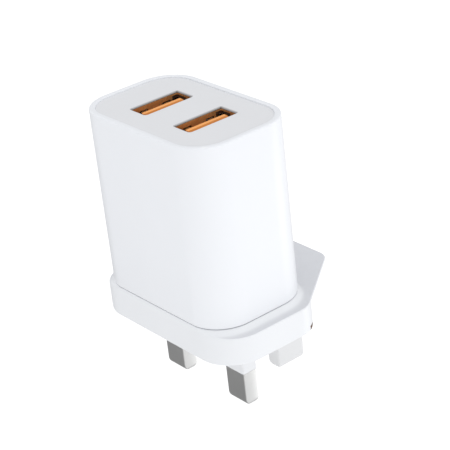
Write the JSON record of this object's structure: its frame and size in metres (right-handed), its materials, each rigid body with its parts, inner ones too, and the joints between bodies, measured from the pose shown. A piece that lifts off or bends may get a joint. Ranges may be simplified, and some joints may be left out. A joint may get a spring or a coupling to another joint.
{
  "type": "usb wall charger",
  "caption": "Compact wall charger: a tall rounded box with side-by-side USB-A ports on top, on a British plug base with sleeved flat pins and a plastic earth pin.",
  "frame": {"origin": "on the plug face, at the middle of the pin pattern: halfway between the live and neutral pins in X, and halfway between their line and the earth pin in Y", "axes": "+Z points from the plug face to the USB ports, the pins point along -Z, +X points from the neutral pin to the live pin, +Y points from the live and neutral pins to the earth pin"},
  "size_m": [0.048, 0.0422, 0.0727],
  "materials": {
    "housing_white": "semi-gloss white moulded polycarbonate",
    "base_white": "semi-gloss white moulded polycarbonate",
    "panel_grey": "fine matt very light grey polycarbonate",
    "pin_metal": "nickel-plated blades, lightly burnished",
    "sleeve_plastic": "light grey insulating sleeve",
    "earth_plastic": "light grey moulded plastic",
    "latch_bronze": "brown-orange moulded tab",
    "port_bronze": "bronze-coloured plated shell",
    "tongue_orange": "orange glass-filled plastic",
    "contact_gold": "gold-plated contacts",
    "board_green": "green solder mask",
    "clamp_black": "black moulded plastic",
    "ferrite": "dark sintered ferrite",
    "copper": "enamelled copper wire",
    "yellow_tape": "yellow polyester tape",
    "tin": "tin-plated pins and posts",
    "sleeve_blue": "dark blue shrink sleeve",
    "can_aluminium": "bare aluminium can",
    "resistor_green": "green lacquered ceramic",
    "disc_blue": "blue dipped coating",
    "chip_black": "black epoxy package",
    "smd_tan": "tan ceramic chips with tinned ends",
    "aluminium_sheet": "mill finish aluminium sheet",
    "pad_grey": "grey-blue silicone pad",
    "sheet_cream": "cream insulating paper"
  },
  "bodies": {
    "root": {"upper_housing": "housing_white", "port_panel": "panel_grey", "base_housing": "base_white", "pin_clamp": "clamp_black", "latch_tab": "latch_bronze", "live_pin": "pin_metal", "neutral_pin": "pin_metal", "live_pin_sleeve": "sleeve_plastic", "neutral_pin_sleeve": "sleeve_plastic", "earth_pin": "earth_plastic", "live_contact": "contact_gold", "neutral_contact": "contact_gold", "main_board": "board_green", "port_board": "board_green", "link_pins": "tin", "usb_shell_1": "port_bronze", "usb_shell_2": "port_bronze", "usb_insulator_1": "tongue_orange", "usb_insulator_2": "tongue_orange", "usb_contacts_1": "contact_gold", "usb_contacts_2": "contact_gold", "core_upper": "ferrite", "core_lower": "ferrite", "bobbin": "clamp_black", "primary_winding": "copper", "secondary_winding": "copper", "tape_wrap": "yellow_tape", "transformer_pins": "tin", "input_capacitor_1": "sleeve_blue", "input_capacitor_2": "sleeve_blue", "output_capacitor_1": "can_aluminium", "output_capacitor_2": "can_aluminium", "fuse_resistor": "resistor_green", "safety_capacitor": "disc_blue", "surge_varistor": "disc_blue", "optocoupler": "chip_black", "inductor_core": "ferrite", "inductor_winding": "copper", "bridge_rectifier": "chip_black", "controller_chip": "chip_black", "rectifier_chip": "chip_black", "port_chip_1": "chip_black", "port_chip_2": "chip_black", "surface_parts": "smd_tan", "heat_spreader": "aluminium_sheet", "thermal_pad": "pad_grey", "barrier_sheet": "sheet_cream"}
  },
  "joints": []
}
